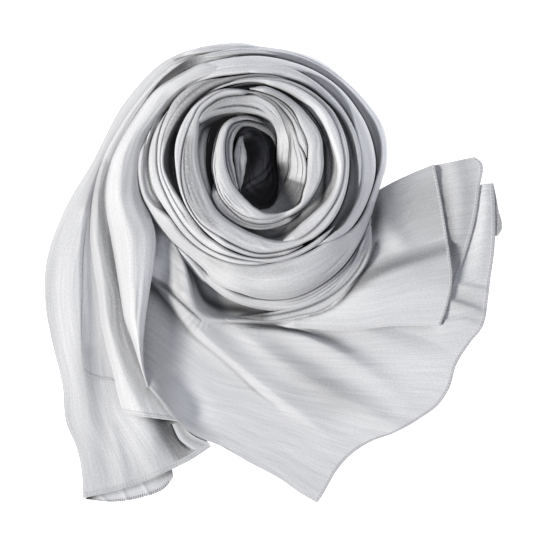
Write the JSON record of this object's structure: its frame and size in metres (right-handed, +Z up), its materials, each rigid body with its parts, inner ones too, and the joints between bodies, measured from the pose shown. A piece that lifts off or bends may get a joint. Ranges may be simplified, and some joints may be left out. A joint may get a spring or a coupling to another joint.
{
  "type": "satin scarf",
  "caption": "Long satin scarf gathered along its length and coiled flat like a rose, its layered left end and its fanned right end spread out below the coil.",
  "frame": {"origin": "middle of the scarf's footprint, on the surface it lies on", "axes": "+Z up from the surface, +X towards the fanned end, +Y from the spread ends towards the coil"},
  "size_m": [0.4577, 0.46, 0.0627],
  "materials": {
    "between_folds": "satin",
    "bottom_ring": "satin",
    "coil_core": "satin",
    "crescent_wrap": "satin",
    "crown_edge_fold": "satin",
    "crown_fold": "satin",
    "inner_wrap": "satin",
    "left_end_bottom_layer": "satin",
    "left_end_inner_layer": "satin",
    "left_end_loop": "satin",
    "left_end_middle_layer": "satin",
    "left_end_turned_hem": "satin",
    "left_inner_fold": "satin",
    "left_outer_fold": "satin",
    "low_wall_fold": "satin",
    "middle_wall_fold": "satin",
    "outer_face": "satin",
    "outer_ring": "satin",
    "right_broad_fold": "satin",
    "right_crown_fold": "satin",
    "right_end_back_panel": "satin",
    "right_end_fan": "satin",
    "right_end_top_panel": "satin",
    "right_end_turned_corner": "satin",
    "right_thin_fold": "satin",
    "tongue_fold": "satin",
    "top_ring": "satin",
    "top_wall_fold": "satin"
  },
  "bodies": {
    "root": {"between_folds": "between_folds", "bottom_ring": "bottom_ring", "coil_core": "coil_core", "crescent_wrap": "crescent_wrap", "crown_edge_fold": "crown_edge_fold", "crown_fold": "crown_fold", "inner_wrap": "inner_wrap", "left_end_bottom_layer": "left_end_bottom_layer", "left_end_inner_layer": "left_end_inner_layer", "left_end_loop": "left_end_loop", "left_end_middle_layer": "left_end_middle_layer", "left_end_turned_hem": "left_end_turned_hem", "left_inner_fold": "left_inner_fold", "left_outer_fold": "left_outer_fold", "low_wall_fold": "low_wall_fold", "middle_wall_fold": "middle_wall_fold", "outer_face": "outer_face", "outer_ring": "outer_ring", "right_broad_fold": "right_broad_fold", "right_crown_fold": "right_crown_fold", "right_end_back_panel": "right_end_back_panel", "right_end_fan": "right_end_fan", "right_end_top_panel": "right_end_top_panel", "right_end_turned_corner": "right_end_turned_corner", "right_thin_fold": "right_thin_fold", "tongue_fold": "tongue_fold", "top_ring": "top_ring", "top_wall_fold": "top_wall_fold"}
  },
  "joints": []
}
